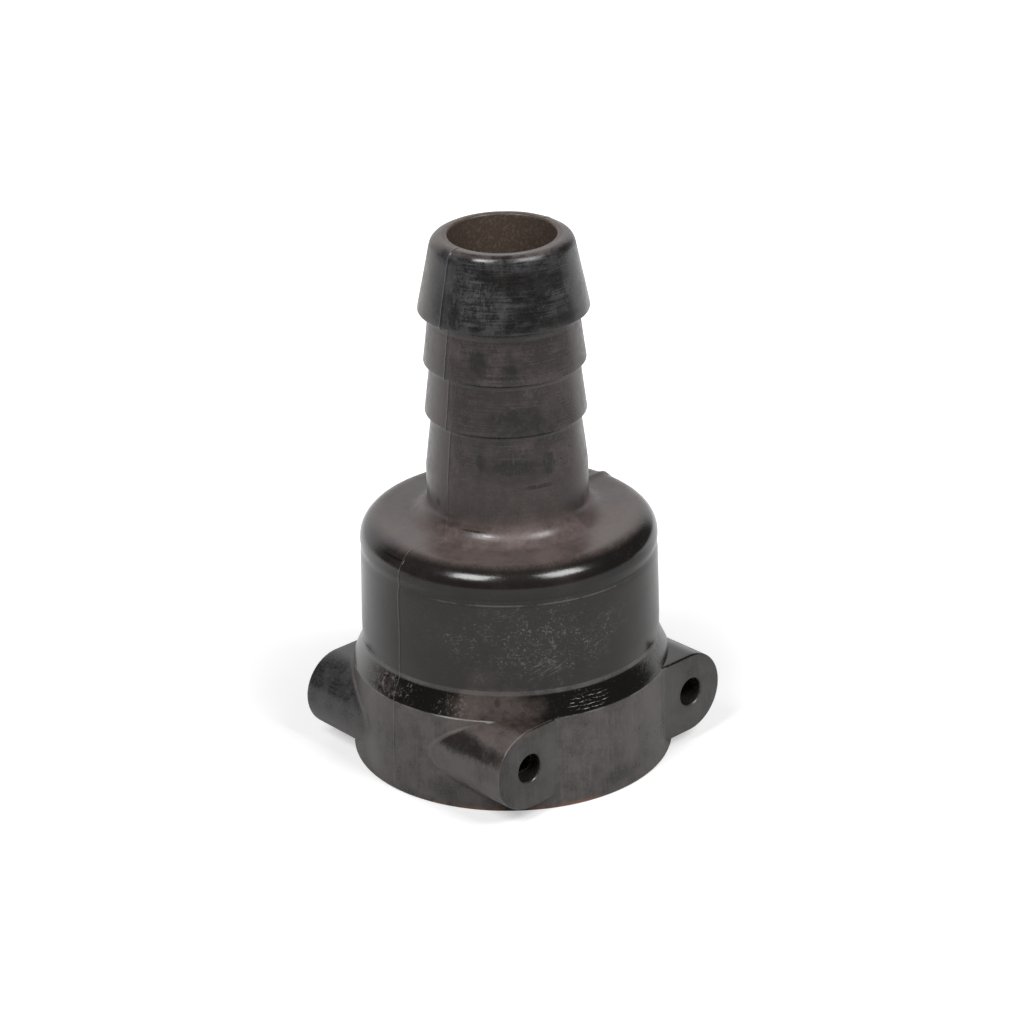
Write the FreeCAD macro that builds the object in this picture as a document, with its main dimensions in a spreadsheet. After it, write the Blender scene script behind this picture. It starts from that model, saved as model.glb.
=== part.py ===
import FreeCAD, Part
import math
import os
import Sketcher

# Hose tail with a fork-clip socket, one moulded piece, stood on its mouth.
# Millimetres. The origin is the centre of the mouth's rim, +Z runs up the axis to the nose,
# and the two fork holes run along Y.

SIZES = [
    ("socketRadius", 16.5, "socket for the spigot"),
    ("ringWall", 8.5, "wall of the ring where its slope starts"),
    ("footFlare", 0.35, "how much wider the ring is at the mouth"),
    ("bodyWall", 6.05, "wall of the body at its waist"),
    ("bodyDraft", 0.45, "how much wider the body is at its foot"),
    ("rimFlare", 0.4, "how much wider the body is at its rim"),
    ("ringHeight", 15.2, "ring, from the mouth to its slope"),
    ("slopeHeight", 3.85, "slope between the ring and the body"),
    ("wallHeight", 14.75, "body, from the slope to its waist"),
    ("flareHeight", 1.6, "from the waist to the rim's full width"),
    ("rimLand", 0.5, "straight part of the rim"),
    ("rimRound", 3.4, "round between the rim and the shoulder"),
    ("floorThickness", 4.3, "plastic between the socket and the shoulder"),
    ("rootRound", 3.2, "round where the tail leaves the shoulder"),
    ("waterRadius", 8.25, "waterway through the tail"),
    ("shankWall", 4.15, "wall of the tail's plain part"),
    ("tailWall", 3.1, "wall of the tail just under each barb's edge"),
    ("barbStep", 1.0, "how far the lower and the middle barb stand out"),
    ("topBarbStep", 1.7, "how far the upper barb stands out"),
    ("noseWall", 2.9, "wall at the end of the tail, before its round"),
    ("noseRound", 2.8, "round at the end of the tail"),
    ("shankLength", 8.25, "plain part of the tail"),
    ("shankTaper", 8.95, "taper from the plain part to the lower barb"),
    ("lowerBarbLength", 8.2, "lower barb"),
    ("middleBarbLength", 8.2, "middle barb"),
    ("topBarbLength", 12.05, "upper barb, to the end of the tail"),
    ("lugSetback", 2.7, "flat end of each lug, inside the ring's radius"),
    ("lugDraft", 0.53, "how far each lug's outline draws in from the mould's split to its flat end"),
    ("lugInside", 6.0, "inner side of each lug's outline, sunk in the ring"),
    ("frontLugGap", 1.95, "front lugs' lower side above the mouth, at the split"),
    ("frontLugRise", 0.8, "front lugs' upper side above the ring's slope line, at the split"),
    ("frontLugInset", 0.35, "front lugs' round side, inside the ring's radius, at the split"),
    ("backLugGap", 0.75, "back lugs' lower side above the mouth, at the split"),
    ("backLugRise", -0.7, "back lugs' upper side above the ring's slope line, at the split"),
    ("backLugInset", 0.5, "back lugs' round side, inside the ring's radius, at the split"),
    ("forkRadius", 2.3, "radius of the fork holes"),
    ("forkOutset", 1.2, "middle of each fork hole, outside the socket's radius"),
]

doc = FreeCAD.newDocument("HoseBarb")
sheet = doc.addObject("Spreadsheet::Sheet", "Sizes")
for row, (name, value, note) in enumerate(SIZES, start=1):
    sheet.set(f"A{row}", name)
    sheet.set(f"B{row}", str(value))
    sheet.set(f"C{row}", note)
    sheet.setAlias(f"B{row}", name)
doc.recompute()
size = {name: value for name, value, note in SIZES}

body = doc.addObject("PartDesign::Body", "HoseBarb")
body.Label = "hose_barb"
body.Placement = FreeCAD.Placement()
planes = {feature.Role: feature for feature in body.Origin.OriginFeatures}


def newSketch(name, plane):
    sketch = body.newObject("Sketcher::SketchObject", name)
    sketch.AttachmentSupport = [(planes[plane], "")]
    sketch.MapMode = "FlatFace"
    return sketch


# a place is the names of the sizes that add up to it, with - before one that is taken off
def number(place):
    return sum(-size[name[1:]] if name.startswith("-") else size[name] for name in place)


def formula(place):
    signs = ["- Sizes." + name[1:] if name.startswith("-") else "+ Sizes." + name for name in place]
    return " ".join(signs).removeprefix("+ ")


def hold(sketch, constraint, expression):
    index = sketch.addConstraint(constraint)
    sketch.setExpression(f"Constraints[{index}]", expression)


# keeps a line's first point at its place across and its place up; an empty place is zero
def pin(sketch, line, across, up):
    if not across and not up:
        sketch.addConstraint(Sketcher.Constraint("Coincident", line, 1, -1, 1))
        return
    if across:
        hold(sketch, Sketcher.Constraint("DistanceX", -1, 1, line, 1, number(across)), formula(across))
    else:
        sketch.addConstraint(Sketcher.Constraint("PointOnObject", line, 1, -2))
    if up:
        hold(sketch, Sketcher.Constraint("DistanceY", -1, 1, line, 1, number(up)), formula(up))
    else:
        sketch.addConstraint(Sketcher.Constraint("PointOnObject", line, 1, -1))


# closed outline through its corners
def outline(sketch, corners):
    points = [FreeCAD.Vector(number(across), number(up), 0) for across, up in corners]
    ends = points[1:] + points[:1]
    lines = [sketch.addGeometry(Part.LineSegment(a, b)) for a, b in zip(points, ends)]
    for line, following in zip(lines, lines[1:] + lines[:1]):
        sketch.addConstraint(Sketcher.Constraint("Coincident", line, 2, following, 1))
    for line, (across, up) in zip(lines, corners):
        pin(sketch, line, across, up)


# the name of the circular edge round the axis with this radius, at this height
def ringEdge(feature, radius, height):
    for index, edge in enumerate(feature.Shape.Edges, start=1):
        curve = edge.Curve
        if not isinstance(curve, Part.Circle):
            continue
        offAxis = abs(curve.Center.x) + abs(curve.Center.y)
        if offAxis < 1e-6 and abs(curve.Center.z - height) < 1e-6 and abs(curve.Radius - radius) < 1e-6:
            return f"Edge{index}"
    raise RuntimeError(f"no edge of radius {radius} at height {height}")


def dress(kind, name, base, amount, across, up):
    doc.recompute()
    feature = body.newObject("PartDesign::" + kind, name)
    feature.Base = (base, [ringEdge(base, number(across), number(up))])
    feature.setExpression("Size" if kind == "Chamfer" else "Radius", "Sizes." + amount)
    return feature


# radii
ring = ("socketRadius", "ringWall")
foot = ring + ("footFlare",)
waist = ("socketRadius", "bodyWall")
slopeTop = waist + ("bodyDraft",)
rim = waist + ("rimFlare",)
shank = ("waterRadius", "shankWall")
root = ("waterRadius", "tailWall")
barb = root + ("barbStep",)
topBarb = root + ("topBarbStep",)
nose = ("waterRadius", "noseWall")

# heights
ringTop = ("ringHeight",)
slopeEnd = ringTop + ("slopeHeight",)
waistAt = slopeEnd + ("wallHeight",)
rimAt = waistAt + ("flareHeight",)
shoulder = rimAt + ("rimLand", "rimRound")
shankEnd = shoulder + ("shankLength",)
lowerBarb = shankEnd + ("shankTaper",)
middleBarb = lowerBarb + ("lowerBarbLength",)
upperBarb = middleBarb + ("middleBarbLength",)
tailEnd = upperBarb + ("topBarbLength",)
seat = shoulder + ("-floorThickness",)

# the outside, turned about the axis
outside = newSketch("OutsideProfile", "XZ_Plane")
outline(outside, [
    ((), ()),
    (foot, ()),
    (ring, ringTop),
    (slopeTop, slopeEnd),
    (waist, waistAt),
    (rim, rimAt),
    (rim, shoulder),
    (shank, shoulder),
    (shank, shankEnd),
    (root, lowerBarb),
    (barb, lowerBarb),
    (root, middleBarb),
    (barb, middleBarb),
    (root, upperBarb),
    (topBarb, upperBarb),
    (nose, tailEnd),
    ((), tailEnd),
])
turned = body.newObject("PartDesign::Revolution", "TurnedOutside")
turned.Profile = outside
turned.ReferenceAxis = (outside, ["V_Axis"])
turned.Angle = 360
last = dress("Fillet", "RimRound", turned, "rimRound", rim, shoulder)
last = dress("Fillet", "RootRound", last, "rootRound", shank, shoulder)
last = dress("Fillet", "NoseRound", last, "noseRound", nose, tailEnd)


# one lug on the +X side: flat above and below, half round outside, sunk in the ring inside,
# and drawn in towards its flat end
def lug(name, gap, rise, inset, backward):
    low = size[gap]
    high = size["ringHeight"] + size[rise]
    radius = (high - low) / 2
    middle = number(ring) - size[inset] - radius
    level = low + radius
    radiusText = f"(Sizes.ringHeight + Sizes.{rise} - Sizes.{gap}) / 2"
    middleText = f"{formula(ring)} - Sizes.{inset} - {radiusText}"
    levelText = f"Sizes.{gap} + {radiusText}"
    sketch = newSketch(name + "Outline", "XZ_Plane")
    corners = [(middle, low), (size["lugInside"], low), (size["lugInside"], high), (middle, high)]
    points = [FreeCAD.Vector(a, b, 0) for a, b in corners]
    below, inside, above = [sketch.addGeometry(Part.LineSegment(a, b)) for a, b in zip(points, points[1:])]
    circle = Part.Circle(FreeCAD.Vector(middle, level, 0), FreeCAD.Vector(0, 0, 1), radius)
    arc = sketch.addGeometry(Part.ArcOfCircle(circle, -math.pi / 2, math.pi / 2))
    sketch.addConstraint(Sketcher.Constraint("Coincident", below, 2, inside, 1))
    sketch.addConstraint(Sketcher.Constraint("Coincident", inside, 2, above, 1))
    sketch.addConstraint(Sketcher.Constraint("Tangent", above, 2, arc, 2))
    sketch.addConstraint(Sketcher.Constraint("Tangent", arc, 1, below, 1))
    sketch.addConstraint(Sketcher.Constraint("Horizontal", below))
    sketch.addConstraint(Sketcher.Constraint("Horizontal", above))
    sketch.addConstraint(Sketcher.Constraint("Vertical", inside))
    hold(sketch, Sketcher.Constraint("DistanceX", -1, 1, inside, 1, size["lugInside"]), "Sizes.lugInside")
    hold(sketch, Sketcher.Constraint("DistanceX", -1, 1, arc, 3, middle), middleText)
    hold(sketch, Sketcher.Constraint("DistanceY", -1, 1, arc, 3, level), levelText)
    hold(sketch, Sketcher.Constraint("Radius", arc, radius), radiusText)
    pad = body.newObject("PartDesign::Pad", name)
    pad.Profile = sketch
    pad.Reversed = backward
    reach = formula(ring) + " - Sizes.lugSetback"
    pad.setExpression("Length", reach)
    pad.setExpression("TaperAngle", f"-atan(Sizes.lugDraft / ({reach}))")
    doc.recompute()
    return pad


frontLug = lug("FrontLug", "frontLugGap", "frontLugRise", "frontLugInset", False)
backLug = lug("BackLug", "backLugGap", "backLugRise", "backLugInset", True)
lugs = body.newObject("PartDesign::Mirrored", "LeftLugs")
lugs.Originals = [frontLug, backLug]
lugs.MirrorPlane = (planes["YZ_Plane"], [""])
body.Tip = lugs
doc.recompute()
full = lugs.Shape.Volume

# the socket and the waterway above it
inside = newSketch("InsideProfile", "XZ_Plane")
outline(inside, [
    ((), ()),
    (("socketRadius",), ()),
    (("socketRadius",), seat),
    (("waterRadius",), seat),
    (("waterRadius",), tailEnd),
    ((), tailEnd),
])
bored = body.newObject("PartDesign::Groove", "SocketAndWaterway")
bored.Profile = inside
bored.ReferenceAxis = (inside, ["V_Axis"])
bored.Angle = 360
doc.recompute()
hollow = bored.Shape.Volume

# the two fork holes, front to back through the lugs and the socket's wall
across = number(("socketRadius", "forkOutset"))
level = (size["frontLugGap"] + number(("ringHeight", "frontLugRise"))) / 2
levelText = "(Sizes.frontLugGap + Sizes.ringHeight + Sizes.frontLugRise) / 2"
holes = newSketch("ForkHoleOutline", "XZ_Plane")
for side in (1, -1):
    centre = FreeCAD.Vector(side * across, level, 0)
    hole = holes.addGeometry(Part.Circle(centre, FreeCAD.Vector(0, 0, 1), size["forkRadius"]))
    ends = (-1, 1, hole, 3) if side == 1 else (hole, 3, -1, 1)
    hold(holes, Sketcher.Constraint("Radius", hole, size["forkRadius"]), "Sizes.forkRadius")
    hold(holes, Sketcher.Constraint("DistanceX", *ends, across), formula(("socketRadius", "forkOutset")))
    hold(holes, Sketcher.Constraint("DistanceY", -1, 1, hole, 3, level), levelText)
fork = body.newObject("PartDesign::Pocket", "ForkHoles")
fork.Profile = holes
fork.Type = "ThroughAll"
fork.SideType = "Symmetric"
body.Tip = fork
doc.recompute()
after = fork.Shape.Volume

if not full > hollow > after:
    raise RuntimeError("a cut removed nothing")
for feature in doc.Objects:
    if "Invalid" in feature.State or "Error" in feature.State:
        raise RuntimeError(f"{feature.Name} failed: {feature.State}")

os.makedirs("parts", exist_ok=True)
for piece in (body,):
    shape = piece.Shape
    if shape.isNull() or not shape.isValid() or len(shape.Solids) != 1:
        raise RuntimeError(f"{piece.Label} isn't one valid solid")
    shape.exportStep(f"parts/{piece.Label}.step")
    box = shape.BoundBox
    print(piece.Label, round(shape.Volume, 1), "mm3, box", round(box.XLength, 2), round(box.YLength, 2),
          round(box.ZLength, 2), "volumes", round(full), round(hollow), round(after))
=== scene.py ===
import math
import bmesh
import bpy
import numpy as np
from mathutils import Matrix, Vector


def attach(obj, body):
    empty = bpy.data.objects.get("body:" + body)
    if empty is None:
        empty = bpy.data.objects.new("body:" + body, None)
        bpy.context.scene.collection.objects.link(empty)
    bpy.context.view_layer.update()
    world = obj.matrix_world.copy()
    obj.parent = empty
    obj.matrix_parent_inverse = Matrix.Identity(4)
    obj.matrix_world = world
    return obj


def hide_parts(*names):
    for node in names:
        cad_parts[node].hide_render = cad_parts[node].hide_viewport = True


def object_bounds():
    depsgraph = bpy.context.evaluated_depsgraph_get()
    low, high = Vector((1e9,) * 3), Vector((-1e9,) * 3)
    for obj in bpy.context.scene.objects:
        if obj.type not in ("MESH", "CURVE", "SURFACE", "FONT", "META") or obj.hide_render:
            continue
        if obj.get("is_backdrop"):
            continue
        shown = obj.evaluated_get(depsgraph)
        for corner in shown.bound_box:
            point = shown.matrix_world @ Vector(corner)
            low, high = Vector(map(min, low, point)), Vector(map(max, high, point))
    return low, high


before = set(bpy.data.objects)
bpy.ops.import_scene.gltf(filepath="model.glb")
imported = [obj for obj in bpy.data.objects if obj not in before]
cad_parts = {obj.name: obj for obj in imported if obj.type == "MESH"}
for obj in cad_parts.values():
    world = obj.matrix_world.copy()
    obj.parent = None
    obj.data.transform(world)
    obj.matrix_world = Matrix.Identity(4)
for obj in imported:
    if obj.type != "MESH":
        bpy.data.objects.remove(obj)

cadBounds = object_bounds()
mm = 0.001


# camera, as in the photograph: turned about the part's axis, raised, and slightly rolled
view = {
    "turn": -43.3,           # degrees about the axis
    "elevation": 23.809,
    "roll": -1.266,
    "distance": 500.73,      # mm from the point looked at
    "aimHeight": 38.914,
    "sideways": 0.577,
    "focal": 3223.2,         # pixels of a picture this wide
    "pictureWidth": 1024,
    "sensor": 36,            # mm
    "nearest": 0.01,         # m
}
frontAngle = math.radians(view["turn"] - 90)     # about Z, towards the camera


def placeCamera():
    turn, tilt, roll = (math.radians(view[k]) for k in ("turn", "elevation", "roll"))
    right = Vector((math.cos(turn), math.sin(turn), 0))
    away = Vector((-math.sin(turn), math.cos(turn), 0))
    up = Vector((0, 0, 1))
    look = away * math.cos(tilt) - up * math.sin(tilt)
    level = right.cross(look)
    across = right * math.cos(roll) + level * math.sin(roll)
    upward = level * math.cos(roll) - right * math.sin(roll)
    spot = right * view["sideways"] - away * view["distance"] * math.cos(tilt)
    spot += up * (view["aimHeight"] + view["distance"] * math.sin(tilt))
    camera = bpy.data.cameras.new("productCamera")
    camera.sensor_width = view["sensor"]
    camera.lens = view["focal"] / view["pictureWidth"] * view["sensor"]
    camera.clip_start = view["nearest"]
    holder = bpy.data.objects.new("productCamera", camera)
    turnMatrix = Matrix((across, upward, -look)).transposed().to_4x4()
    holder.matrix_world = Matrix.Translation(spot * mm) @ turnMatrix
    bpy.context.scene.collection.objects.link(holder)
    bpy.context.scene.camera = holder
    return right, away


# the moulding's outside and inside: radius, height and round of each corner, mm
shell = {
    "outside": [             # up from the foot to the nose
        (25.35, 0.0, 0.3), (25.0, 15.2, 0.35), (23.34, 18.85, 0.5), (23.4, 21.8, 2.5),
        (23.3, 27.0, 4.0), (23.17, 33.2, 0.8), (22.93, 34.2, 0.4), (23.17, 35.3, 0.8),
        (23.2, 39.3, 3.6), (12.52, 39.3, 3.2), (12.52, 47.5, 3.0), (11.45, 56.45, 0.8),
        (12.48, 56.45, 0.22), (11.47, 64.65, 0.8), (12.5, 64.65, 0.22), (11.47, 72.8, 0.9),
        (13.22, 72.8, 0.35), (10.68, 84.95, 2.35),
    ],
    "inside": [              # down from the nose to the mouth
        (8.25, 84.95, 0.35), (8.25, 35.0, 0.2), (16.5, 35.0, 0.9), (16.5, 0.0, 0.3),
    ],
    "step": 0.75,            # along the outside
    "insideStep": 5.0,
    "arcStep": 7,            # degrees, for rounds of more than 1 mm
    "smallArcStep": 20,
    "arcShare": 0.97,        # how much of an edge the arcs at its ends may take up
    "columns": 250,
    "flashReach": 1.6,       # degrees either side of a flash line that have columns of their own
    "flashStep": 0.16,
    "flashClear": 1.9,       # the even columns keep this far off
    "flashHeight": 0.085,
    "flashWidth": 0.16,
    "flashRipple": 0.25,     # share by which it rises and falls over the height, and how fast
    "rippleRate": 2.3,
    "flashOnShoulder": 0.2,  # the share that is left on the shoulder's flat
    "wander": 0.004,         # radians that the flash line strays, and how fast over the height
    "wanderRate": 0.55,
    "kinks": [(37.6, 1.6, 0.012), (17.2, 1.2, -0.008)],      # its height, half length, radians
    "ribs": [(174.5, 0.02), (196.8, 0.025), (-16.8, 0.025), (5.5, 0.02)],    # degrees about Z, mm
    "ribWidth": 0.3,
    "ribTop": 15,
    "waves": [               # mm, then turns, rate per mm and phase of both sines
        (0.03, (2, 0, 0.7), (0, 0.09, 1)),
        (0.018, (5, 0.21, 0), (2, 0.31, 0)),
        (0.01, (11, -0.37, 0), (3, 0.62, 0)),
    ],
    "knocks": [              # degrees from the front, height, depth (minus is a burr), half size
        (133.3, 38.7, -0.3, 0.8), (-26.4, 69.8, 0.12, 0.4), (-58.0, 43.6, 0.14, 0.5),
        (-88.0, 4.4, -0.2, 0.6), (20.0, 29.5, 0.05, 0.5), (-8.0, 25.5, 0.05, 0.4),
        (47.0, 12.0, 0.08, 0.5), (-24.0, 2.2, 0.08, 0.7), (150.0, 30.0, 0.08, 0.8),
        (-150.0, 50.0, 0.1, 0.6), (165.0, 74.5, 0.12, 0.6), (-120.0, 12.5, 0.08, 0.6),
    ],
    "boreLimit": 8.6,        # the unevenness keeps outside this radius
    "socketLimit": (18.6, 36.5),             # and outside this radius below this height
    "shoulderFlat": (13.2, 20.3, 38),        # radius from and to, above this height
    "footFade": (0.5, 1.5),  # height where the unevenness starts, and its run
    "mouthSlant": 0.6,       # how far the tail's inner edge is worn down on the near side
    "mouthEdge": (10.9, 2.3, 82, 2.5),       # radius and run, height and run where the wear sets in
    "sharpFrom": 34,         # degrees
}


def wrapped(angle):
    return (angle + math.pi) % (2 * math.pi) - math.pi


# a smooth bump of the given width round a place
def bump(distance, width):
    return np.exp(-(distance / width) ** 2)


# outline with each corner turned into an arc: straight runs and arcs as arrays of points
def roundedOutline():
    corners = np.array(shell["outside"] + shell["inside"], float)
    points, radii = corners[:, :2], corners[:, 2]
    before = np.roll(points, 1, axis=0) - points
    after = np.roll(points, -1, axis=0) - points
    lengthBefore = np.linalg.norm(before, axis=1)
    lengthAfter = np.linalg.norm(after, axis=1)
    before /= lengthBefore[:, None]
    after /= lengthAfter[:, None]
    half = np.arccos(np.clip((before * after).sum(1), -1, 1)) / 2
    cut = radii / np.tan(half)
    room = shell["arcShare"] * lengthAfter / (cut + np.roll(cut, -1))
    tight = np.minimum(1, room)       # below 1 where two arcs would overlap
    cut = cut * np.minimum(tight, np.roll(tight, 1))
    runs = []
    for i in range(len(points)):      # one arc and one straight run for each corner
        start = points[i] + before[i] * cut[i]
        stop = points[i] + after[i] * cut[i]
        arcStep = shell["arcStep"] if radii[i] > 1 else shell["smallArcStep"]
        count = max(2, math.ceil((math.pi - 2 * half[i]) / math.radians(arcStep)) + 1)
        bisector = before[i] + after[i]
        bisector /= np.linalg.norm(bisector)
        radius = cut[i] * math.tan(half[i])
        centre = points[i] + bisector * radius / math.sin(half[i])
        first = math.atan2(*(start - centre)[::-1])
        last = math.atan2(*(stop - centre)[::-1])
        angles = first + wrapped(last - first) * np.linspace(0, 1, count)
        runs.append(centre + radius * np.stack([np.cos(angles), np.sin(angles)], axis=1))
        following = (i + 1) % len(points)
        run = points[following] - after[i] * cut[following] - stop
        spacing = shell["insideStep"] if i >= len(shell["outside"]) else shell["step"]
        pieces = max(1, round(np.linalg.norm(run) / spacing))
        runs.append(stop + run * np.linspace(0, 1, pieces + 1)[1:-1, None])
    return np.concatenate(runs)


# angle columns: even all round, and close together at the two flash lines
def columnAngles():
    even = np.arange(shell["columns"]) / shell["columns"] * 2 * math.pi
    reach = shell["flashReach"]
    fine = np.radians(np.arange(-reach, reach + 0.01, shell["flashStep"]))
    near = np.abs(wrapped(even[:, None] - np.array([0, math.pi]))).min(1)
    clear = even[near > math.radians(shell["flashClear"])]
    return np.sort(np.concatenate([clear, fine, fine + math.pi]) % (2 * math.pi))


# mm by which each point moves out: the flash ridge at both splits, faint upright ribs on the ring,
# three slow waves (each a product of two sines of angle and height) and a few knocks
def unevenness(angle, radius, height):
    turn = wrapped(angle)
    wander = shell["wander"] * np.sin(height * shell["wanderRate"])
    for level, size, radians in shell["kinks"]:
        wander = wander + radians * bump(height - level, size)
    ridge = 0
    for place in (0.0, math.pi):
        gap = wrapped(angle - place - wander) * radius
        ripple = shell["flashRipple"] * (np.sin(height * shell["rippleRate"] + place) - 1)
        ridge = ridge + bump(gap, shell["flashWidth"]) * (1 + ripple)
    flatFrom, flatTo, flatAbove = shell["shoulderFlat"]
    flat = (radius > flatFrom) & (radius < flatTo) & (height > flatAbove)
    move = shell["flashHeight"] * ridge * np.where(flat, shell["flashOnShoulder"], 1.0)
    for degrees, amount in shell["ribs"]:
        gap = wrapped(angle - math.radians(degrees)) * radius
        move = move + amount * bump(gap, shell["ribWidth"]) * (height < shell["ribTop"])
    for amount, *sines in shell["waves"]:
        first, second = (np.sin(turns * turn + rate * height + phase)
                         for turns, rate, phase in sines)
        move = move + amount * first * second
    for degrees, level, depth, size in shell["knocks"]:
        gap = wrapped(angle - frontAngle - math.radians(degrees)) * radius
        move = move - depth * bump(gap, size) * bump(height - level, size)
    socketRadius, socketTop = shell["socketLimit"]
    outer = (radius > shell["boreLimit"]) & ((radius > socketRadius) | (height > socketTop))
    fadeFrom, fadeRun = shell["footFade"]
    return move * outer * np.clip((height - fadeFrom) / fadeRun, 0, 1)


# grid z(angle, step): the outline turned about the axis, each point then moved along its own normal
# by the unevenness; the tail's inner edge is lower where it faces the camera
def shellMesh():
    outline = roundedOutline()
    along = np.roll(outline, -1, axis=0) - np.roll(outline, 1, axis=0)
    along /= np.linalg.norm(along, axis=1)[:, None]
    normal = np.stack([along[:, 1], -along[:, 0]], axis=1)
    angle = columnAngles()[:, None]
    radius, height = outline[None, :, 0], outline[None, :, 1]
    move = unevenness(angle, radius, height)
    radial = radius + normal[None, :, 0] * move
    upward = height + normal[None, :, 1] * move
    edgeRadius, radiusRun, edgeHeight, heightRun = shell["mouthEdge"]
    inward = np.clip((edgeRadius - radius) / radiusRun, 0, 1)
    inward = inward * np.clip((height - edgeHeight) / heightRun, 0, 1)
    nearer = (1 + np.cos(angle - frontAngle)) / 2
    upward = upward - shell["mouthSlant"] * nearer * inward * inward * (3 - 2 * inward)
    co = np.stack([radial * np.cos(angle), radial * np.sin(angle), upward], axis=-1)
    return gridMesh("shell", co, closedBoth=True)


# a mesh of quads from a grid of points; both directions close on themselves, or the ends get caps
def gridMesh(name, co, closedBoth=False):
    rows, cols = co.shape[:2]
    index = np.arange(rows * cols).reshape(rows, cols)
    nextCol = np.roll(index, -1, axis=1)
    if closedBoth:
        a, b = index, nextCol
        c, d = np.roll(nextCol, -1, axis=0), np.roll(index, -1, axis=0)
    else:
        a, b, c, d = index[:-1], nextCol[:-1], nextCol[1:], index[1:]
    faces = np.stack([a, b, c, d], axis=-1).reshape(-1, 4).tolist()
    if not closedBoth:
        faces += [index[0, ::-1].tolist(), index[-1].tolist()]
    mesh = bpy.data.meshes.new(name)
    mesh.from_pydata((co.reshape(-1, 3) * mm).tolist(), [], faces)
    mesh.validate()
    return mesh


# lugs: bars with a half-round outer side, their flat ends slightly rounded at the edge, and the
# fork holes through them, mm. Low, high and reach are taken at the mould's split; draft is how far
# the outline draws in from there to the flat end; way is the end's direction along Y
lugs = {
    "front": {"low": 1.95, "high": 15.75, "reach": 24.45, "draft": 0.3, "way": -1},
    "back": {"low": 0.75, "high": 14.5, "reach": 24.5, "draft": 0.53, "way": 1},
    "start": 2.0,
    "end": 22.3,
    "edgeRound": 0.28,
    "hiddenSide": 18.6,      # the bar's hidden side follows this circle within the ring's wall
    "hiddenLeast": 50.0,     # mm2: the square of the least distance that it keeps from the axis
    "hiddenGap": 0.3,        # between it and the middle of the half circle
    "rows": 26,              # along the bar up to its rounded edge
    "edgeRows": 5,
    "arcPoints": 49,
    "flatPoints": 6,
    "hiddenPoints": 5,
    "holeOffset": 17.7,
    "holeHeight": 8.975,
    "holeRadius": 2.3,
    "holeMouth": 0.16,       # how much wider the hole is at its mouths
    "mouthDepth": 0.18,
    "mouthOver": 0.02,       # the cutter's mouths start this far outside the flat ends
    "cutterOver": 3,
    "holePoints": 48,
}


# one bar: the outline (half circle, flat, hidden side, flat) carried along Y, drawn in steadily by
# the mould's draft and then by a quarter round at the very end
def lugMesh(which, side):
    spec = lugs[which]
    full = (spec["high"] - spec["low"]) / 2
    level = spec["low"] + full
    middle = spec["reach"] - full
    edge = np.linspace(0, math.pi / 2, lugs["edgeRows"] + 1)[1:]
    straight = np.linspace(lugs["start"], lugs["end"] - lugs["edgeRound"], lugs["rows"])
    ends = np.concatenate([straight, lugs["end"] - lugs["edgeRound"] * (1 - np.sin(edge))])
    drawn = spec["draft"] * ends / lugs["end"]
    drawn[lugs["rows"]:] += lugs["edgeRound"] * (1 - np.cos(edge))
    hidden = np.sqrt(np.maximum(lugs["hiddenSide"] ** 2 - ends ** 2, lugs["hiddenLeast"]))
    hidden = np.minimum(hidden, middle - lugs["hiddenGap"])[:, None]
    reach = (full - drawn)[:, None]
    arc = np.linspace(-math.pi / 2, math.pi / 2, lugs["arcPoints"])[None, :]
    flat = np.linspace(0, 1, lugs["flatPoints"] + 1)[None, 1:]
    down = np.linspace(0, 1, lugs["hiddenPoints"] + 1)[None, 1:]
    x = np.concatenate([
        middle + reach * np.cos(arc),
        middle + (hidden - middle) * flat,
        hidden + 0 * down,
        hidden + (middle - hidden) * flat[:, :-1],
    ], axis=1)
    z = np.concatenate([
        level + reach * np.sin(arc),
        level + reach + 0 * flat,
        level + reach - 2 * reach * down,
        level - reach + 0 * flat[:, :-1],
    ], axis=1)
    y = np.broadcast_to(ends[:, None], x.shape)
    return gridMesh("lug", np.stack([x * side, spec["way"] * y, z], axis=-1))


# cylinder along Y with a slightly opened mouth at both ends
def holeMesh(side):
    beyondEnd = np.array([lugs["cutterOver"], lugs["mouthOver"], -lugs["mouthDepth"]])
    half = lugs["end"] + beyondEnd
    y = np.concatenate([-half, half[::-1]])
    radius = lugs["holeRadius"] + lugs["holeMouth"] * np.array([1, 1, 0, 0, 1, 1])
    a = np.linspace(0, 2 * math.pi, lugs["holePoints"] + 1)[None, :-1]
    x = side * lugs["holeOffset"] + radius[:, None] * np.cos(a)
    z = lugs["holeHeight"] + radius[:, None] * np.sin(a)
    return gridMesh("hole", np.stack([x, np.broadcast_to(y[:, None], x.shape), z], axis=-1))


# one object from several closed meshes, their normals outward
def joined(name, meshes):
    work = bmesh.new()
    for mesh in meshes:
        work.from_mesh(mesh)
    bmesh.ops.remove_doubles(work, verts=work.verts, dist=1e-7)
    bmesh.ops.recalc_face_normals(work, faces=work.faces)
    result = bpy.data.meshes.new(name)
    work.to_mesh(result)
    work.free()
    holder = bpy.data.objects.new(name, result)
    bpy.context.scene.collection.objects.link(holder)
    return holder


def buildBarb():
    barb = joined("hoseBarb", [shellMesh()])
    bars = joined("lugBars", [lugMesh(which, side)
                              for which in ("front", "back") for side in (1, -1)])
    holes = joined("forkHoles", [holeMesh(side) for side in (1, -1)])
    for kind, cutter in (("UNION", bars), ("DIFFERENCE", holes)):
        step = barb.modifiers.new(kind.lower(), "BOOLEAN")
        step.operation = kind
        step.solver = "EXACT"
        step.object = cutter
    graph = bpy.context.evaluated_depsgraph_get()
    finished = bpy.data.meshes.new_from_object(barb.evaluated_get(graph))
    barb.modifiers.clear()
    barb.data = finished
    finished.name = "hoseBarb"
    for tool in (bars, holes):
        bpy.data.objects.remove(tool)
    finished.shade_smooth()
    finished.set_sharp_from_angle(angle=math.radians(shell["sharpFrom"]))
    return barb


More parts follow.
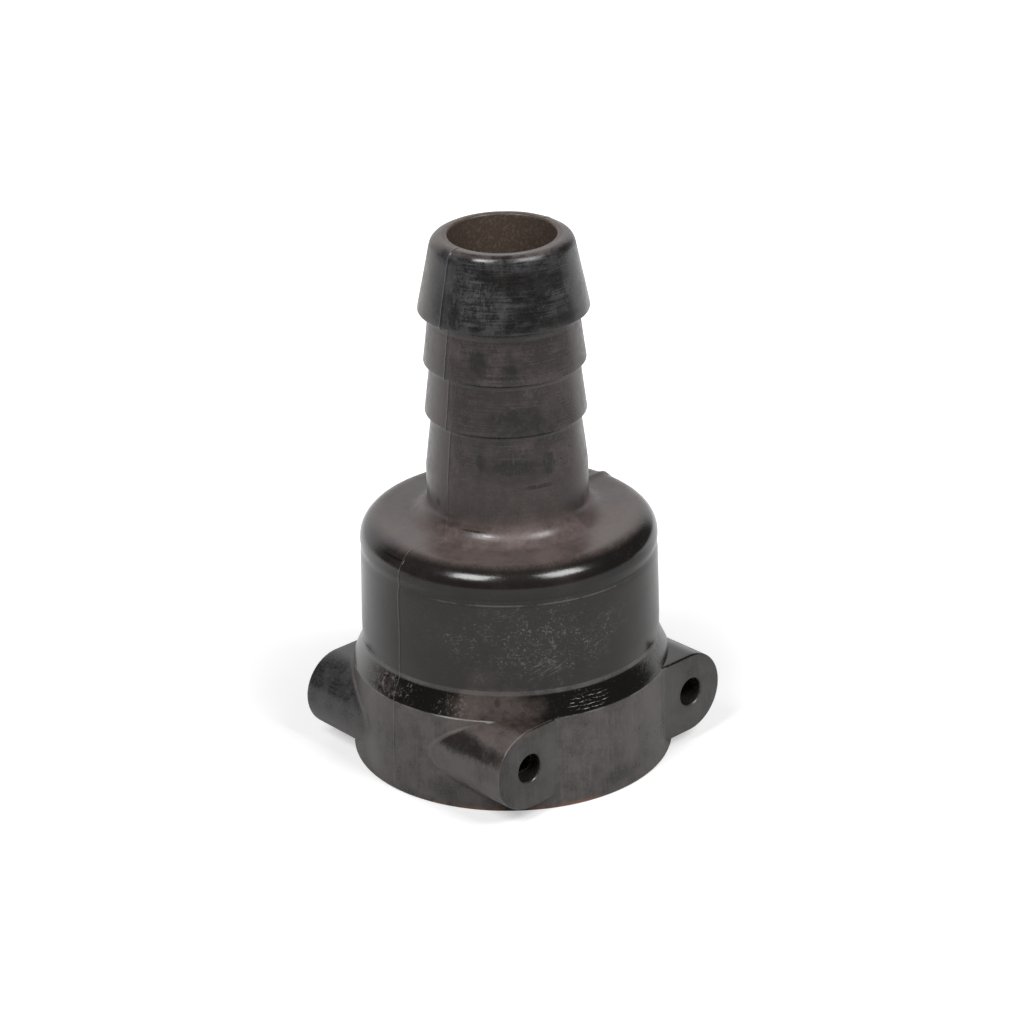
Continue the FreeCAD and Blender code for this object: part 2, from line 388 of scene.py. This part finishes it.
# short ways to add and join the nodes of one shader tree
class Nodes:
    def __init__(self, tree):
        tree.nodes.clear()
        self.tree = tree
        self.add, self.link = tree.nodes.new, tree.links.new

    # an output is linked to the socket, anything else is its value
    def feed(self, socket, value):
        if isinstance(value, bpy.types.NodeSocket):
            self.link(value, socket)
        else:
            socket.default_value = value

    def calc(self, operation, a, b=0.0, c=0.0, clamp=False):
        node = self.add("ShaderNodeMath")
        node.operation = operation
        node.use_clamp = clamp
        for socket, value in zip(node.inputs, (a, b, c)):
            self.feed(socket, value)
        return node.outputs[0]

    def chain(self, operation, values):
        result = values[0]
        for value in values[1:]:
            result = self.calc(operation, result, value)
        return result

    def times(self, *values):
        return self.chain("MULTIPLY", values)

    def plus(self, *values):
        return self.chain("ADD", values)

    def most(self, *values):
        return self.chain("MAXIMUM", values)

    def flip(self, value):
        return self.calc("SUBTRACT", 1.0, value)

    # weighted sum of pairs of a value and its share
    def blend(self, *pairs):
        result = self.times(*pairs[0])
        for value, share in pairs[1:]:
            result = self.calc("MULTIPLY_ADD", value, share, result)
        return result

    # smooth step from low to high, 0 to 1 unless first and last say otherwise
    def step(self, value, low, high, first=0.0, last=1.0):
        node = self.add("ShaderNodeMapRange")
        node.interpolation_type = "SMOOTHSTEP"
        for socket, number in zip(node.inputs[:5], (value, low, high, first, last)):
            self.feed(socket, number)
        return node.outputs["Result"]

    def band(self, value, low, high, soft):
        rise = self.step(value, low - soft, low + soft)
        return self.times(rise, self.flip(self.step(value, high - soft, high + soft)))

    def vector(self, operation, a, b=(0.0, 0.0, 0.0)):
        node = self.add("ShaderNodeVectorMath")
        node.operation = operation
        self.feed(node.inputs[0], a)
        self.feed(node.inputs[1], b)
        return node.outputs["Value"]

    def noise(self, vector, detail, roughness):
        node = self.add("ShaderNodeTexNoise")
        node.inputs["Scale"].default_value = 1.0
        node.inputs["Detail"].default_value = detail
        node.inputs["Roughness"].default_value = roughness
        self.link(vector, node.inputs["Vector"])
        return node.outputs["Fac"]

    def mix(self, factor, a, b):
        node = self.add("ShaderNodeMix")
        node.data_type = "RGBA"
        for socket, value in ((node.inputs[0], factor), (node.inputs[6], a), (node.inputs[7], b)):
            self.feed(socket, (*value, 1) if isinstance(value, tuple) else value)
        return node.outputs[2]


# the plastic: colours, roughness, where it is worn and where highlights, shade and a reflection are
# painted on. A patch is its angle from the front in degrees (minus is left in the main view), its
# height in mm, and half its size in both
plastic = {
    "bare": (0.0072, 0.0062, 0.0056),        # glossy black
    "film": (0.070, 0.0555, 0.0515),         # dull handling film
    "coolFilm": (0.049, 0.0520, 0.0565),     # on the upper barb and the left lug
    "warmFilm": (0.090, 0.0670, 0.0620),     # on the shoulder
    "palerFilm": (0.128, 0.0960, 0.0890),    # on the shoulder's front
    "ringFilm": (0.091, 0.0790, 0.0750),
    "faceFilm": (0.063, 0.0570, 0.0530),     # on the lugs' flat ends
    "underBarbHighlight": (0.132, 0.113, 0.113),      # painted highlight: pale bands under the barbs, where the root fillets catch the light
    "landFilm": (0.095, 0.0790, 0.0740),     # on the nose's flat
    "chalkAndSheen": (0.150, 0.142, 0.138),          # rubbed and scratched spots; also painted highlights, glints and a floor reflection
    "glintHighlight": (0.420, 0.410, 0.400),          # bright cuts in the slope
    # painted highlight: glints of the scratches in the slope and a bright line along its lower edge
    "dust": (0.100, 0.077, 0.070),
    "rust": (0.220, 0.085, 0.035),           # dirt along the mouth's edge
    "boreDirt": (0.125, 0.090, 0.070),
    "bareRoughness": 0.16,
    "filmRoughness": 0.42,
    "reliefStrength": 0.35,
    "reliefDepth": 0.00005,  # m
    "zones": {               # mm: the run over which one sets in, or low, high and half that run
        "outside": (8.7, 9.2),               # radius
        "tail": (40.6, 44.4),
        "shoulder": (38.5, 39.5),
        "rim": (34.6, 38.9, 0.4),
        "body": (19.0, 34.3, 0.2),
        "slope": (15.5, 18.75, 0.25),
        "aboveRing": (14.9, 15.4),
        "topBarb": (72.5, 73.3),
        "land": (83.7, 84.3),
        "lugEnd": (22.15, 22.25),            # along Y
        "lugSide": (11.6, 11.9),             # along X
        "proud": (25.45, 25.7),              # radius, further out than the ring
        "aboveLugs": (16.2, 16.6),
        "leftLug": (-64.0, -60.0),           # degrees from the front
        "hole": (2.33, 2.44),                # from a fork hole's axis
        "clearOfLugs": (25.3, 25.5),         # radius
    },
    "noises": {              # scale along x, y and z, detail, roughness, seed
        "grain": ((2600, 2600, 2600), 3, 0.6, 0.0),      # specks of a third of a millimetre
        "fine": ((900, 900, 900), 6, 0.65, 2.2),
        "mottle": ((330, 330, 280), 6, 0.68, 6.1),       # smears of some 3 mm
        "cloudy": ((150, 150, 130), 5, 0.62, 3.1),
        "broad": ((52, 52, 52), 3, 0.5, 8.4),
        "rings": ((190, 190, 4200), 4, 0.6, 1.7),        # scratches round the axis
        "uprights": ((2900, 2900, 170), 4, 0.6, 5.3),    # scratches up and down
    },
    "strokes": {             # tilt in degrees, length and width in mm, seed
        "slanted": (14, 2.2, 0.2, 3.0),
        "crossing": (-38, 1.5, 0.22, 7.0),
        "scratches": (24, 3.0, 0.2, 11.0),
        "belt": (58, 1.2, 0.4, 5.0),
        "farGlints": (35, 1.6, 0.25, 9.0),
        "glints": (4, 0.8, 0.16, 13.0),
    },
    "perDegree": 0.4,        # mm round the body, for the strokes
    "darkPatches": [
        (-19, 68.0, 7, 2.4), (5, 67.3, 10, 1.1), (8, 59.0, 36, 2.6), (-19, 52.0, 5, 1.8),
        (12, 57.4, 36, 1.3), (31, 51.3, 6, 1.9), (24, 48.1, 16, 0.4), (6, 51.3, 26, 1.2),
        (-45, 76.0, 13, 2.6), (20, 80.6, 31, 2.0), (13, 76.3, 8, 1.2), (40, 74.3, 29, 1.1),
        (61, 83.9, 16, 0.5), (-52, 82.9, 20, 0.6), (-58, 43.6, 3, 0.7), (150, 58.0, 22, 1.9),
        (-140, 50.5, 26, 2.8), (120, 67.0, 15, 1.8), (-122, 77.0, 20, 2.6), (155, 79.0, 22, 2.5),
    ],
    "palerPatches": [        # less dark than those
        (-5.5, 17.8, 1.4, 0.8), (4, 50.8, 34, 2.8), (-45, 41.7, 12, 1.0), (60, 42.6, 11, 1.9),
        (-24, 3.2, 9, 2.4), (42, 2.8, 12, 1.9), (66, 6.0, 6, 3.0), (140, 5.0, 20, 3.0),
    ],
    "darkStrokes": [
        (-2.5, 66.0, 20, 0.16), (-24, 41.0, 12, 0.22), (-14, 40.6, 5, 0.2), (-52, 38.0, 9, 0.2),
        (8, 79.6, 24, 0.2), (16, 77.9, 20, 0.2), (4, 81.3, 30, 0.2), (8, 18.5, 3, 0.25),
    ],
    "lugDark": (-18, 12.1, 21, 1.8),
    # painted shade: the left part of the lugs' flat ends made darker
    "faceShade": (-4, 8.5, 6, 9.0),
    # painted light: the right part of the lugs' flat ends made lighter
    "faceLitSide": (13, 8.5, 6, 9.0),
    "dustPatch": (-6, 17.0, 22, 3.6),
    "dustAbove": (-12, 21.8, 9, 2.6),
    "lugDust": (-7, 14.2, 12, 1.6),
    "speckledBody": (10, 27.0, 42, 8.5),
    "speckledBack": (150, 27.0, 26, 6.5),
    "scratchedBody": (13, 23.0, 8, 1.6),
    "beltSpecks": (-52, 17.0, 17, 2.6),
    "beltFilm": (-56, 17.0, 13, 2.6),
    "beltFilmRight": (77, 17.0, 8, 2.8),
    "dustSpecks": (-24, 16.8, 9, 2.2),
    "paleEdge": (-61, 3.8, 8, 4.5),
    # painted glints on the slope, near the middle and farther right
    "glints": (29, 16.7, 10, 1.5),
    "glintRows": 0.54,       # mm between them
    "farGlints": (64, 17.6, 9, 0.9),
    "ringRub": (42, 8.0, 34, 8.0),
    "ringRubLeft": (-52, 8.0, 26, 8.0),
    "barbEdges": [           # height, and how far below it the painted highlight band begins and ends
        (72.8, 0.8, 1.35), (64.65, 0.5, 0.95), (56.45, 0.5, 0.95),
    ],
}


def plasticMaterial():
    material = bpy.data.materials.new("wornBlackPlasticWithPaintedLight")
    material.use_nodes = True
    nodes = Nodes(material.node_tree)
    calc, times, plus, most, flip = nodes.calc, nodes.times, nodes.plus, nodes.most, nodes.flip
    blend, step, band, mix = nodes.blend, nodes.step, nodes.band, nodes.mix
    output = nodes.add("ShaderNodeOutputMaterial")
    shader = nodes.add("ShaderNodeBsdfPrincipled")
    nodes.link(shader.outputs[0], output.inputs["Surface"])

    # where a point is: mm, and degrees from the front
    place = nodes.add("ShaderNodeTexCoord").outputs["Object"]
    axes = nodes.add("ShaderNodeSeparateXYZ")
    nodes.link(place, axes.inputs[0])
    x, y, z = axes.outputs
    height = times(z, 1 / mm)
    radius = times(calc("SQRT", blend((x, x), (y, y))), 1 / mm)
    spread = blend((x, -math.sin(frontAngle)), (y, math.cos(frontAngle)))
    depth = blend((x, math.cos(frontAngle)), (y, math.sin(frontAngle)))
    azimuth = times(calc("ARCTAN2", spread, depth), 180 / math.pi)
    sideways, endways = (times(calc("ABSOLUTE", v), 1 / mm) for v in (x, y))
    holeAcross = plus(sideways, -lugs["holeOffset"])
    holeUp = plus(height, -lugs["holeHeight"])
    fromHole = calc("SQRT", blend((holeAcross, holeAcross), (holeUp, holeUp)))

    def noise(scale, detail, roughness, seed):
        mapping = nodes.add("ShaderNodeMapping")
        mapping.inputs["Scale"].default_value = scale
        mapping.inputs["Location"].default_value = (seed, seed * 0.7, -seed)
        nodes.link(place, mapping.inputs["Vector"])
        return nodes.noise(mapping.outputs[0], detail, roughness)

    noises = plastic["noises"].values()
    grain, fine, mottle, cloudy, broad, rings, uprights = (noise(*spec) for spec in noises)
    ragged = plus(times(calc("SUBTRACT", cloudy, 0.5), 2.4),
                  times(calc("SUBTRACT", fine, 0.5), 1.6))

    # short strokes at a tilt, drawn on the unrolled surface
    def strokes(kind, low, high):
        degrees, length, width, seed = plastic["strokes"][kind]
        tilt, perDegree = math.radians(degrees), plastic["perDegree"]
        joint = nodes.add("ShaderNodeCombineXYZ")
        lengthways = blend((azimuth, perDegree * math.cos(tilt) / length),
                           (height, math.sin(tilt) / length))
        across = blend((azimuth, -perDegree * math.sin(tilt) / width),
                       (height, math.cos(tilt) / width))
        for socket, value in zip(joint.inputs, (lengthways, across, seed)):
            nodes.feed(socket, value)
        return step(nodes.noise(joint.outputs[0], 3, 0.6), low, high)

    # a soft oval on the surface whose edge is broken up by the noises
    def patch(where, rough=1.0, inner=-0.25):
        middle, level, halfAngle, halfHeight = where
        across = calc("MULTIPLY_ADD", azimuth, 1 / halfAngle, -middle / halfAngle)
        upward = calc("MULTIPLY_ADD", height, 1 / halfHeight, -level / halfHeight)
        far = blend((across, across), (upward, upward))
        return step(calc("SUBTRACT", times(ragged, rough), far), -1.05, inner)

    # the zones of the surface
    zones = plastic["zones"]
    outside = step(radius, *zones["outside"])
    tail = times(step(height, *zones["tail"]), outside)
    shoulder = times(step(height, *zones["shoulder"]), flip(tail), outside)
    rim = band(height, *zones["rim"])
    slope = band(height, *zones["slope"])
    ring = flip(step(height, *zones["aboveRing"]))
    body = band(height, *zones["body"])
    topBarb = step(height, *zones["topBarb"])
    land = times(step(height, *zones["land"]), outside)
    lugFace = times(step(endways, *zones["lugEnd"]), step(sideways, *zones["lugSide"]), ring)
    proud = times(step(radius, *zones["proud"]), flip(step(height, *zones["aboveLugs"])))
    leftLug = times(proud, flip(step(azimuth, *zones["leftLug"])))
    inHole = flip(step(fromHole, *zones["hole"]))
    clearOfLugs = flip(step(radius, *zones["clearOfLugs"]))

    # dull film: nearly whole on the shoulder, the shank and the ring, smeared on the barbs' front,
    # thin on the body, specks on rim and slope
    toRight = step(azimuth, -44.0, -26.0)
    farLeft = flip(step(azimuth, -66.0, -52.0))
    scratched = plus(times(rings, toRight), times(uprights, flip(toRight)))
    smears = step(blend((mottle, 0.6), (scratched, 0.4)), 0.41, 0.60)
    barbFront = times(band(azimuth, -42.0, 55.0, 16.0), step(height, 48.0, 52.0))
    bareShare = plus(0.28, times(topBarb, flip(farLeft), 0.17), times(barbFront, 0.25))
    bareSmears = times(flip(smears), bareShare)
    tailShare = calc("SUBTRACT", plus(0.98, times(barbFront, -0.14)), bareSmears)
    ringMottle = step(blend((uprights, 0.3), (mottle, 0.7)), 0.36, 0.62)
    ringShare = plus(0.62, times(ringMottle, 0.50))
    rimShare = times(cloudy, plus(0.32, times(step(azimuth, 20.0, 46.0), -0.24)))
    beltEnds = most(patch(plastic["beltFilm"]), patch(plastic["beltFilmRight"]))
    beltShare = times(beltEnds, step(blend((mottle, 0.6), (grain, 0.4)), 0.40, 0.58), 0.6)
    film = plus(times(tail, tailShare), times(shoulder, 0.97), times(ring, ringShare),
                times(body, 0.21), times(rim, rimShare), times(slope, beltShare))
    film = times(film, plus(0.62, times(step(cloudy, 0.3, 0.68), 0.5)))
    film = times(film, plus(0.88, times(step(blend((grain, 0.5), (fine, 0.5)), 0.42, 0.60), 0.24)))
    specks = step(blend((grain, 0.72), (cloudy, 0.28)), 0.575, 0.66)
    film = plus(film, times(plus(rim, slope), specks, step(broad, 0.42, 0.6), 0.5))

    # where the film is gone, and painted shade on the left of the lugs' flat ends
    dark = most(*(patch(where, 1.5) for where in plastic["darkPatches"]))
    dark = most(dark, *(patch(where, 0.45) for where in plastic["darkStrokes"]))
    dark = most(dark, times(most(*(patch(where) for where in plastic["palerPatches"])), 0.6))
    # painted shade: the left of the lugs' flat ends darker
    dark = most(dark, times(patch(plastic["faceShade"], 0.3, 0.6), lugFace, 0.45))
    dark = most(dark, times(leftLug, step(height, 3.5, 8.0), step(mottle, 0.42, 0.58), 0.85))
    broken = step(blend((grain, 0.4), (fine, 0.35), (rings, 0.25)), 0.42, 0.56)
    dark = times(dark, plus(0.4, times(broken, 0.6)))
    lugDark = times(patch(plastic["lugDark"], 1.1, 0.1), proud, flip(lugFace), 0.88)
    dark = most(dark, lugDark)
    # the mould's split shows as a dark line on the tail
    wander = times(calc("SINE", times(height, shell["wanderRate"])), math.degrees(shell["wander"]))
    splits = [angle - math.degrees(frontAngle) - 360 for angle in (180, 360)]
    fromSplit = [calc("ABSOLUTE", calc("SUBTRACT", calc("SUBTRACT", azimuth, wander), angle))
                 for angle in splits]
    splitLine = times(flip(step(calc("MINIMUM", *fromSplit), 0.3, 1.0)), tail, flip(land))
    dark = most(dark, times(splitLine, 0.6))
    kept = times(flip(times(dark, 0.92)), flip(times(inHole, 0.8)))
    film = calc("MULTIPLY", film, kept, clamp=True)

    # rubbed specks and scratches, with painted glints on the slope, painted light on the lugs' flat
    # ends and a painted floor reflection low on the left lug
    ringMarks = step(blend((rings, 0.8), (fine, 0.2)), 0.58, 0.68)
    uprightMarks = step(blend((uprights, 0.8), (cloudy, 0.2)), 0.56, 0.67)
    slanted = most(strokes("slanted", 0.60, 0.70), strokes("crossing", 0.62, 0.72))
    blots = step(blend((fine, 0.6), (grain, 0.4)), 0.54, 0.64)
    speckled = times(most(patch(plastic["speckledBody"], inner=0.4),
                          patch(plastic["speckledBack"], inner=0.4)), body)
    bodyMarks = most(times(specks, 0.9), slanted, times(blots, step(mottle, 0.40, 0.56), 0.9))
    ringSpots = most(times(uprightMarks, 0.7), times(specks, 0.7), times(blots, 0.6))
    ringRub = most(patch(plastic["ringRub"]), patch(plastic["ringRubLeft"]))
    beltPart = most(patch(plastic["beltSpecks"]), patch(plastic["dustSpecks"]))
    beltMarks = most(specks, blots, times(strokes("belt", 0.58, 0.68), 0.5))
    chalkAndSheen = most(
        times(speckled, bodyMarks, 0.72),
        times(speckled, ringMarks, step(cloudy, 0.40, 0.56), 0.34),
        times(patch(plastic["scratchedBody"]), strokes("scratches", 0.52, 0.62), 0.42),
        times(tail, ringMarks, step(cloudy, 0.42, 0.6), 0.26),
        times(tail, uprightMarks, step(cloudy, 0.46, 0.6), 0.26),
        times(tail, most(specks, times(blots, 0.5)), 0.20),
        times(ring, ringSpots, plus(0.09, times(ringRub, 0.20))),
        times(leftLug, most(specks, blots), 0.22),
        # painted reflection of the floor: the left lug lighter low down
        times(leftLug, flip(step(height, 2.5, 7.5)), 0.5),
        times(patch(plastic["paleEdge"], 0.5, 0.3), ring, flip(proud), 0.85),
        times(lugFace, most(specks, uprightMarks, times(blots, 0.5)), 0.25),
        # painted light: the right of the lugs' flat ends lighter
        times(lugFace, patch(plastic["faceLitSide"], 0.4, 0.5), 0.36),
        times(beltPart, slope, beltMarks, step(mottle, 0.36, 0.52), 0.66),
        # painted glints on the slope's far right
        times(patch(plastic["farGlints"], 0.5), slope, strokes("farGlints", 0.52, 0.62), 0.36),
        times(shoulder, most(specks, times(slanted, 0.6)), 0.22),
    )

    # light worn edges above and below the slope, faint lines under the rim and at the lugs' roots,
    # and a painted highlight along the rounded edges of the lugs' flat ends
    upperEdge = times(band(height, 18.72, 19.5, 0.12),
                      plus(0.45, times(step(cloudy, 0.42, 0.6), 0.45)),
                      plus(0.62, times(specks, 0.38)))
    lowerEdge = times(band(height, 15.08, 15.3, 0.1),
                      plus(0.3, times(step(cloudy, 0.44, 0.56), 0.7)))
    edges = times(most(upperEdge, lowerEdge), clearOfLugs, outside)
    rimLine = times(band(height, 33.55, 33.75, 0.1), band(azimuth, -28.0, 50.0, 6.0),
                    step(cloudy, 0.34, 0.5))
    ringGap = calc("MULTIPLY_ADD", height, 0.023, radius)      # 25.35 all over the ring's wall
    rootLine = times(band(ringGap, 25.45, 25.72, 0.07), ring, flip(lugFace),
                     step(cloudy, 0.36, 0.56))
    # painted highlight along the rounded edge of the lugs' flat ends
    faceEdgeHighlight = times(band(endways, 22.02, 22.2, 0.05), proud, step(cloudy, 0.4, 0.55))
    chalkAndSheen = most(chalkAndSheen, times(edges, 0.9), times(rimLine, 0.5), times(faceEdgeHighlight, 0.35),
                 times(rootLine, 0.4))

    # painted highlights: short rows of glints where scratches on the slope catch the light, and a
    # bright line along its lower edge near the middle
    rows = calc("SINE", blend((height, 2 * math.pi / plastic["glintRows"]),
                              (azimuth, 0.05), (mottle, 9.0)))
    glints = times(patch(plastic["glints"], 0.5), step(rows, 0.6, 0.95),
                   strokes("glints", 0.49, 0.60), slope)
    lowerEdgeHighlight = times(band(height, 15.1, 15.3, 0.07), band(azimuth, -27.0, -6.0, 5.0), clearOfLugs)

    # painted highlight: light bands under the barbs, where the root fillets catch the light,
    # stronger towards the sides
    side = plus(0.62, times(step(calc("ABSOLUTE", azimuth), 15.0, 60.0), 0.2))
    under = most(*(band(height, level - lower, level - upper, 0.12)
                   for level, upper, lower in plastic["barbEdges"]))
    under = times(under, side, plus(0.5, times(step(cloudy, 0.4, 0.6), 0.5)), outside)

    dust = times(patch(plastic["dustPatch"], 0.6, 0.35),
                 plus(0.60, times(mottle, 0.35), times(rings, 0.3)), step(height, 14.0, 15.4))
    dust = most(dust, times(patch(plastic["dustAbove"], 0.5, 0.8), 0.32))
    lugDust = times(patch(plastic["lugDust"], 0.7, 0.2), flip(lugFace), flip(lugDark), 0.75)
    dust = most(dust, lugDust)
    dust = times(dust, flip(times(dark, 0.85)))
    rust = times(flip(step(height, 0.3, 0.8)), step(radius, 24.0, 24.6), step(cloudy, 0.38, 0.56),
                 band(azimuth, -38.0, 36.0, 10.0))

    # the film's colour by zone, then film over bare plastic, and the marks, dirt and painted
    # highlights over both
    filmColour = mix(times(topBarb, flip(farLeft), 0.85), plastic["film"], plastic["coolFilm"])
    onShoulder = mix(band(azimuth, -38.0, 48.0, 22.0), plastic["warmFilm"], plastic["palerFilm"])
    filmColour = mix(shoulder, filmColour, onShoulder)
    filmColour = mix(ring, filmColour, plastic["ringFilm"])
    filmColour = mix(lugFace, filmColour, plastic["faceFilm"])
    filmColour = mix(times(leftLug, step(height, 3.0, 8.0), 0.6), filmColour, plastic["coolFilm"])
    filmColour = mix(land, filmColour, plastic["landFilm"])
    inBore = times(flip(outside), step(height, 50.0, 70.0))
    boreDirt = times(inBore, plus(0.48, times(step(grain, 0.48, 0.64), 0.4)))
    colour = mix(film, plastic["bare"], filmColour)
    for amount, kind in ((chalkAndSheen, "chalkAndSheen"), (under, "underBarbHighlight"),
                         (most(times(glints, 0.7), times(lowerEdgeHighlight, 0.8)), "glintHighlight"),
                         (times(dust, 0.85), "dust"), (times(rust, 0.8), "rust"),
                         (boreDirt, "boreDirt")):
        colour = mix(amount, colour, plastic[kind])
    nodes.link(colour, shader.inputs["Base Color"])

    bareRoughness = plastic["bareRoughness"]
    rough = calc("MULTIPLY_ADD", film, plastic["filmRoughness"] - bareRoughness, bareRoughness)
    rough = plus(rough, times(calc("SUBTRACT", fine, 0.5), film, 0.30))
    rough = plus(rough, times(most(chalkAndSheen, times(dust, 0.7), times(tail, dark, 0.5)), 0.28))
    rough = calc("ADD", rough, times(flip(outside), 0.25), clamp=True)
    nodes.link(rough, shader.inputs["Roughness"])

    relief = blend((grain, 0.35), (fine, 0.5), (rings, blend((tail, 0.55), (slope, 0.25))))
    relief = plus(relief, times(uprights, ring, 0.3))
    bumpNode = nodes.add("ShaderNodeBump")
    bumpNode.inputs["Strength"].default_value = plastic["reliefStrength"]
    bumpNode.inputs["Distance"].default_value = plastic["reliefDepth"]
    nodes.link(relief, bumpNode.inputs["Height"])
    nodes.link(bumpNode.outputs[0], shader.inputs["Normal"])
    print("plastic has", len(nodes.tree.nodes), "nodes")
    return material


# studio: two soft boxes high at the left and right of the camera, pale floor, white sweep behind
studio = {
    "boxes": [               # degrees round and up, side in m, power in W
        (-37.0, 49.0, 0.32, 4.9), (50.0, 47.0, 0.32, 4.9),
    ],
    "boxDistance": 0.85,
    "boxAim": 0.04,          # height in m
    "room": 0.05,
    "sweep": 1.0,
    "sweepTurn": 12.0,             # to the left, in degrees
    "sweepSides": (0.58, 0.80),    # cosine of the angle from its middle
    "sweepTop": (0.60, 0.80),      # sine of the elevation
    "floorHalf": 3.0,
    "floorDrop": 0.00002,          # m below the part, so that the two don't touch
    "floorColour": (0.62, 0.62, 0.62),
    "floorFade": (0.025, 0.11),    # m from the axis
    "floorGlow": (0.48, 0.95),     # what the camera sees added there
    "behindFade": (-0.01, 0.12),   # m behind the axis
    "behindGlow": 0.75,            # what reflections see added there
}


def softBox(name, azimuth, elevation, side, power, right, away):
    a, e = math.radians(azimuth), math.radians(elevation)
    toward = (right * math.sin(a) - away * math.cos(a)) * math.cos(e) + Vector((0, 0, math.sin(e)))
    lamp = bpy.data.lights.new(name, "AREA")
    lamp.shape = "SQUARE"
    lamp.size = side
    lamp.energy = power
    holder = bpy.data.objects.new(name, lamp)
    holder.location = toward * studio["boxDistance"] + Vector((0, 0, studio["boxAim"]))
    holder.rotation_euler = toward.to_track_quat("Z", "Y").to_euler()
    bpy.context.scene.collection.objects.link(holder)


def sweepDirection(right, away):
    turn = math.radians(studio["sweepTurn"])
    return away * math.cos(turn) - right * math.sin(turn)


def lightScene(right, away):
    for i, box in enumerate(studio["boxes"]):
        softBox(f"softBox{i + 1}", *box, right, away)
    world = bpy.data.worlds.new("studioWorld")
    bpy.context.scene.world = world
    world.use_nodes = True
    nodes = Nodes(world.node_tree)
    output = nodes.add("ShaderNodeOutputWorld")
    # the white sweep stands behind the part and the rest of the room is dark; the camera sees white
    direction = nodes.add("ShaderNodeTexCoord").outputs["Generated"]
    axes = nodes.add("ShaderNodeSeparateXYZ")
    nodes.link(direction, axes.inputs[0])
    facing = nodes.vector("DOT_PRODUCT", direction, sweepDirection(right, away))
    onSweep = nodes.times(nodes.step(facing, *studio["sweepSides"]),
                          nodes.step(axes.outputs["Z"], *studio["sweepTop"], 1.0, 0.0))
    dark = studio["room"]
    level = nodes.calc("MULTIPLY_ADD", onSweep, studio["sweep"] - dark, dark)
    isSeen = nodes.add("ShaderNodeLightPath").outputs["Is Camera Ray"]
    both = nodes.add("ShaderNodeMixShader")
    nodes.link(isSeen, both.inputs[0])
    for socket, strength in zip(both.inputs[1:], (level, 1.0)):
        background = nodes.add("ShaderNodeBackground")
        background.inputs["Color"].default_value = (1, 1, 1, 1)
        nodes.feed(background.inputs["Strength"], strength)
        nodes.link(background.outputs[0], socket)
    nodes.link(both.outputs[0], output.inputs[0])


def floorMaterial(right, away):
    material = bpy.data.materials.new("paleFloor")
    material.use_nodes = True
    nodes = Nodes(material.node_tree)
    output = nodes.add("ShaderNodeOutputMaterial")
    diffuse = nodes.add("ShaderNodeBsdfDiffuse")
    diffuse.inputs["Color"].default_value = (*studio["floorColour"], 1)
    # the camera sees a glow that grows away from the part, reflections see one only behind it
    place = nodes.add("ShaderNodeTexCoord").outputs["Object"]
    ray = nodes.add("ShaderNodeLightPath").outputs
    behind = nodes.vector("DOT_PRODUCT", place, sweepDirection(right, away))
    seen = nodes.step(nodes.vector("LENGTH", place), *studio["floorFade"], *studio["floorGlow"])
    mirrored = nodes.step(behind, *studio["behindFade"], 0.0, studio["behindGlow"])
    strength = nodes.plus(nodes.times(ray["Is Camera Ray"], seen),
                          nodes.times(ray["Is Glossy Ray"], mirrored))
    glow = nodes.add("ShaderNodeEmission")
    nodes.link(strength, glow.inputs["Strength"])
    both = nodes.add("ShaderNodeAddShader")
    nodes.link(diffuse.outputs[0], both.inputs[0])
    nodes.link(glow.outputs[0], both.inputs[1])
    nodes.link(both.outputs[0], output.inputs[0])
    return material


def layFloor(right, away):
    half = studio["floorHalf"]
    corners = [(-half, -half, 0), (-half, half, 0), (half, -half, 0), (half, half, 0)]
    mesh = bpy.data.meshes.new("floor")
    mesh.from_pydata(corners, [], [(0, 2, 3, 1)])
    floor = bpy.data.objects.new("floor", mesh)
    floor.location.z = -studio["floorDrop"]
    mesh.materials.append(floorMaterial(right, away))
    bpy.context.scene.collection.objects.link(floor)
    floor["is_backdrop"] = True


print("camera")
right, away = placeCamera()
print("moulding")
barb = buildBarb()
barb.data.materials.clear()
barb.data.materials.append(plasticMaterial())
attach(barb, "root")
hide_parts("hose_barb")
print("moulding has", len(barb.data.polygons), "faces")
print("studio")
lightScene(right, away)
layFloor(right, away)
bpy.context.scene.view_settings.view_transform = "Standard"

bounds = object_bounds()
asLists = [[list(map(float, corner)) for corner in box] for box in (cadBounds, bounds)]
